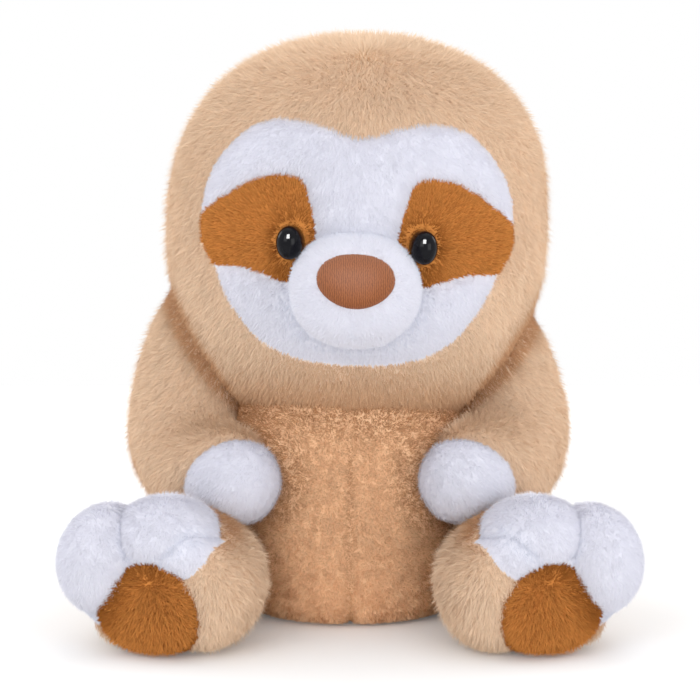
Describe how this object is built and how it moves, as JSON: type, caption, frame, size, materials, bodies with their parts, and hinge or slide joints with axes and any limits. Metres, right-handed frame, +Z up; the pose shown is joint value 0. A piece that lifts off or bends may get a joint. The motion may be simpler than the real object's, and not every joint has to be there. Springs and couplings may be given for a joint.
{
  "type": "plush sloth",
  "caption": "Sitting plush sloth toy with a big round head, pale face mask, brown eye patches, long arms and short padded legs; the head, arms and legs flex at their seams.",
  "frame": {"origin": "middle of the seat on the floor it sits on, under the torso", "axes": "+Z up, face towards -Y, the toy's own left side towards +X"},
  "size_m": [0.2504, 0.1975, 0.2657],
  "materials": {
    "tan_plush": "short soft pile, sand tan",
    "belly_plush": "short soft pile, darker caramel with pale tips",
    "white_plush": "short smooth pile, white",
    "brown_plush": "short soft pile, chestnut brown",
    "nose_cloth": "fine ribbed woven cloth, brown",
    "eye_plastic": "polished black",
    "washer_plastic": "white moulded plastic, hidden",
    "stuffing_fibre": "loose white fibre, hidden",
    "pellet_bag_cloth": "thin cloth bag of pellets, hidden"
  },
  "bodies": {
    "head": {"head_cover": "tan_plush", "brow_panel": "white_plush", "cheek_panel": "white_plush", "muzzle": "white_plush", "nose": "nose_cloth", "eye_patch_left": "brown_plush", "eye_patch_right": "brown_plush", "eye_left": "eye_plastic", "eye_right": "eye_plastic", "eye_washer_left": "washer_plastic", "eye_washer_right": "washer_plastic", "head_stuffing": "stuffing_fibre"},
    "torso": {"belly_panel_left": "belly_plush", "belly_panel_right": "belly_plush", "back_panel_left": "tan_plush", "back_panel_right": "tan_plush", "base_panel": "tan_plush", "torso_stuffing": "stuffing_fibre", "seat_pellet_bag": "pellet_bag_cloth"},
    "arm_left": {"sleeve_left": "tan_plush", "hand_left": "white_plush", "arm_stuffing_left": "stuffing_fibre"},
    "leg_left": {"leg_cover_left": "tan_plush", "sole_pad_left": "brown_plush", "toe_outer_left": "white_plush", "toe_inner_left": "white_plush", "leg_stuffing_left": "stuffing_fibre"},
    "arm_right": {"sleeve_right": "tan_plush", "hand_right": "white_plush", "arm_stuffing_right": "stuffing_fibre"},
    "leg_right": {"leg_cover_right": "tan_plush", "sole_pad_right": "brown_plush", "toe_outer_right": "white_plush", "toe_inner_right": "white_plush", "leg_stuffing_right": "stuffing_fibre"}
  },
  "joints": [
    {"name": "head_turn", "type": "hinge", "parent": "torso", "child": "head", "pos_m": [0, -0.004, 0.098], "axis": [0, 0, 1], "range_deg": [-12, 12], "stiffness_Nm_per_rad": 0.3},
    {"name": "arm_left_raise", "type": "hinge", "parent": "torso", "child": "arm_left", "pos_m": [0.062, 0.004, 0.118], "axis": [-1, 0, 0], "range_deg": [0, 24], "stiffness_Nm_per_rad": 0.06},
    {"name": "leg_left_splay", "type": "hinge", "parent": "torso", "child": "leg_left", "pos_m": [0.048, -0.022, 0.026], "axis": [0, 0, 1], "range_deg": [0, 14], "stiffness_Nm_per_rad": 0.15},
    {"name": "arm_right_raise", "type": "hinge", "parent": "torso", "child": "arm_right", "pos_m": [-0.062, 0.004, 0.118], "axis": [-1, 0, 0], "range_deg": [0, 24], "stiffness_Nm_per_rad": 0.06},
    {"name": "leg_right_splay", "type": "hinge", "parent": "torso", "child": "leg_right", "pos_m": [-0.048, -0.022, 0.026], "axis": [0, 0, -1], "range_deg": [0, 14], "stiffness_Nm_per_rad": 0.15}
  ]
}
